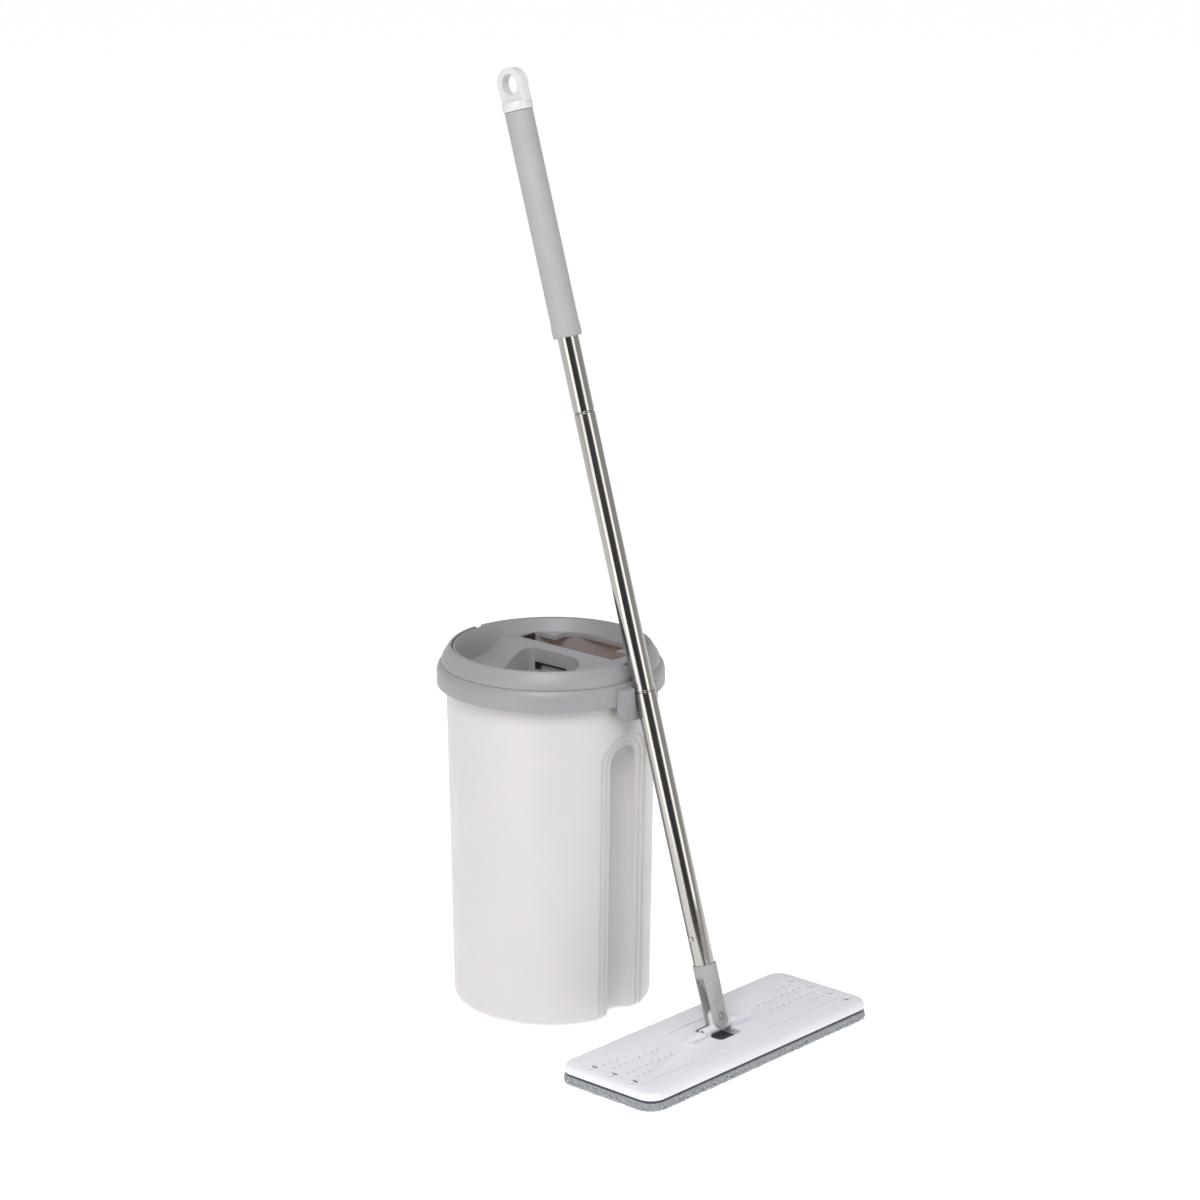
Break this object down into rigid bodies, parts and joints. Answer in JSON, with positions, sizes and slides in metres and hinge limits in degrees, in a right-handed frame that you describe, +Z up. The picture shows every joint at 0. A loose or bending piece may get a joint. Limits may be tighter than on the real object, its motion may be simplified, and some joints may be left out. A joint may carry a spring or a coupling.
{
  "type": "flat mop and scraper bucket",
  "caption": "Flat mop on a two-way jointed steel pole, leaning in the clip of a round bucket with a slotted scraper lid and a swinging carry handle.",
  "frame": {"origin": "on the floor, at the middle of the set's bounding box", "axes": "+Z up; X along the mop head; -Y is the front, where the mop leans on the bucket's clip"},
  "size_m": [0.352, 0.4188, 0.9866],
  "materials": {
    "bucket_white": "smooth warm white",
    "lid_grey": "satin light grey",
    "black_plastic": "matte black",
    "plate_white": "smooth cool white",
    "grip_grey": "fine matte grey",
    "cap_white": "smooth white",
    "dark_rubber": "matte dark grey",
    "microfibre": "short grey pile",
    "steel": "polished stainless tube"
  },
  "bodies": {
    "bucket": {"bucket_body": "bucket_white", "foot_1": "bucket_white", "foot_2": "bucket_white", "foot_3": "bucket_white", "foot_4": "bucket_white", "lid_insert": "lid_grey", "pole_clip": "lid_grey", "scraper_frame": "black_plastic"},
    "handle": {"carry_handle": "lid_grey", "handle_pin_front": "lid_grey", "handle_pin_back": "lid_grey"},
    "scraper": {"scraper_holder": "plate_white", "scraper_blade": "dark_rubber"},
    "pole": {"connector_fork": "grip_grey", "fork_pin": "steel", "lower_tube": "steel", "tube_rivet": "steel", "tube_joint_lower": "steel", "middle_tube": "steel", "tube_joint_upper": "steel", "upper_tube": "steel", "grip_sleeve": "grip_grey", "hang_cap": "cap_white"},
    "swivel": {"swivel_block": "plate_white"},
    "mop_head": {"head_plate": "plate_white", "backing_plate": "dark_rubber", "mop_pad": "microfibre", "swivel_axle": "steel", "plate_button_left_1": "plate_white", "plate_button_left_2": "plate_white", "plate_button_left_3": "plate_white", "plate_button_right_1": "plate_white", "plate_button_right_2": "plate_white", "plate_button_right_3": "plate_white", "plate_button_right_4": "plate_white"}
  },
  "joints": [
    {"name": "handle_swing", "type": "hinge", "parent": "bucket", "child": "handle", "pos_m": [-0.005, 0.0894, 0.38], "axis": [0, 1, 0], "range_deg": [0, 90]},
    {"name": "scraper_press", "type": "slide", "parent": "bucket", "child": "scraper", "axis": [-1, 0, 0], "range_m": [0, 0.003], "stiffness_N_per_m": 600},
    {"name": "mop_lift", "type": "slide", "parent": "bucket", "child": "pole", "axis": [0, 0, 1], "range_m": [0, 0.45]},
    {"name": "head_swing", "type": "hinge", "parent": "pole", "child": "swivel", "pos_m": [0, -0.14103, 0.03446], "axis": [0, 0.958, -0.2868], "range_deg": [-75, 75]},
    {"name": "head_tilt", "type": "hinge", "parent": "swivel", "child": "mop_head", "pos_m": [0, -0.1444, 0.0232], "axis": [1, 0, 0], "range_deg": [-77, 43]}
  ]
}
